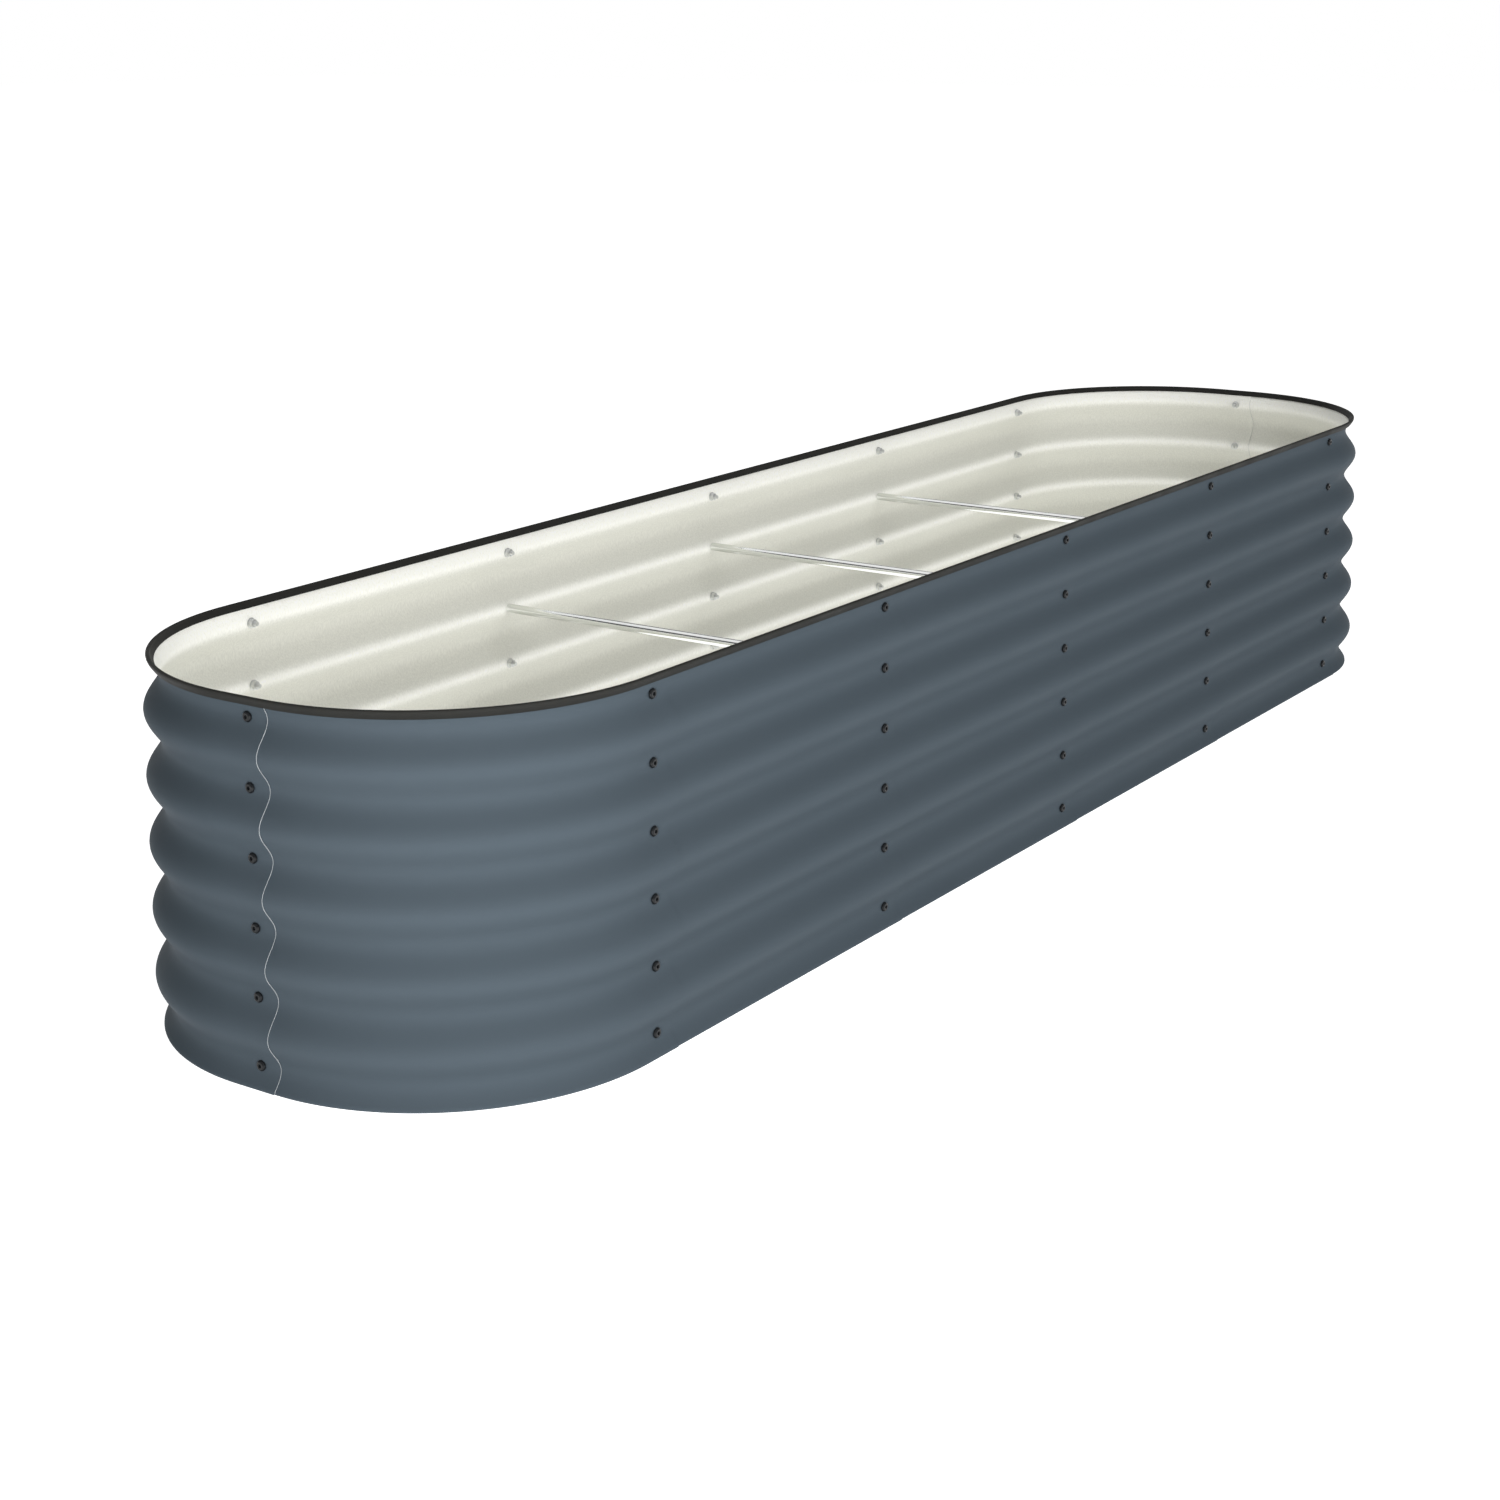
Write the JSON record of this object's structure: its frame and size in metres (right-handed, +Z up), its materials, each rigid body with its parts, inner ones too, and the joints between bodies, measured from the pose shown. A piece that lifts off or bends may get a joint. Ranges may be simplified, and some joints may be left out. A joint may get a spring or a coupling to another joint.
{
  "type": "raised garden bed",
  "caption": "Long raised garden bed with round ends, made of lapped and bolted corrugated sheet-steel panels, open at the top and bottom, with brace rods and a rubber edge trim.",
  "frame": {"origin": "on the ground in the middle of the bed", "axes": "+X along the bed, +Y across it towards the back, +Z up"},
  "size_m": [2.5288, 0.6296, 0.4293],
  "materials": {
    "painted_steel": "satin slate-blue paint outside, warm white coat inside, bare cut edges",
    "polished_steel": "polished",
    "zinc_plate": "bright zinc plating",
    "black_oxide": "black oxide, satin",
    "black_rubber": "matte"
  },
  "bodies": {
    "root": {"bottom_bolt_1": "black_oxide", "bottom_bolt_2": "black_oxide", "bottom_bolt_3": "black_oxide", "bottom_bolt_4": "black_oxide", "bottom_bolt_5": "black_oxide", "bottom_bolt_6": "black_oxide", "bottom_nut_1": "zinc_plate", "bottom_nut_2": "zinc_plate", "bottom_nut_3": "zinc_plate", "bottom_nut_4": "zinc_plate", "bottom_nut_5": "zinc_plate", "bottom_nut_6": "zinc_plate", "brace_bolt_back_1": "black_oxide", "brace_bolt_back_2": "black_oxide", "brace_bolt_back_3": "black_oxide", "brace_bolt_front_1": "black_oxide", "brace_bolt_front_2": "black_oxide", "brace_bolt_front_3": "black_oxide", "brace_rod_1": "polished_steel", "brace_rod_2": "polished_steel", "brace_rod_3": "polished_steel", "corner_panel_back_left": "painted_steel", "corner_panel_back_right": "painted_steel", "corner_panel_front_left": "painted_steel", "corner_panel_front_right": "painted_steel", "edge_trim": "black_rubber", "side_panel_back_1": "painted_steel", "side_panel_back_2": "painted_steel", "side_panel_back_3": "painted_steel", "side_panel_back_4": "painted_steel", "side_panel_front_1": "painted_steel", "side_panel_front_2": "painted_steel", "side_panel_front_3": "painted_steel", "side_panel_front_4": "painted_steel", "top_bolt_1": "black_oxide", "top_bolt_10": "black_oxide", "top_bolt_11": "black_oxide", "top_bolt_12": "black_oxide", "top_bolt_2": "black_oxide", "top_bolt_3": "black_oxide", "top_bolt_4": "black_oxide", "top_bolt_5": "black_oxide", "top_bolt_6": "black_oxide", "top_bolt_7": "black_oxide", "top_bolt_8": "black_oxide", "top_bolt_9": "black_oxide", "top_nut_1": "zinc_plate", "top_nut_10": "zinc_plate", "top_nut_11": "zinc_plate", "top_nut_12": "zinc_plate", "top_nut_2": "zinc_plate", "top_nut_3": "zinc_plate", "top_nut_4": "zinc_plate", "top_nut_5": "zinc_plate", "top_nut_6": "zinc_plate", "top_nut_7": "zinc_plate", "top_nut_8": "zinc_plate", "top_nut_9": "zinc_plate"}
  },
  "joints": []
}
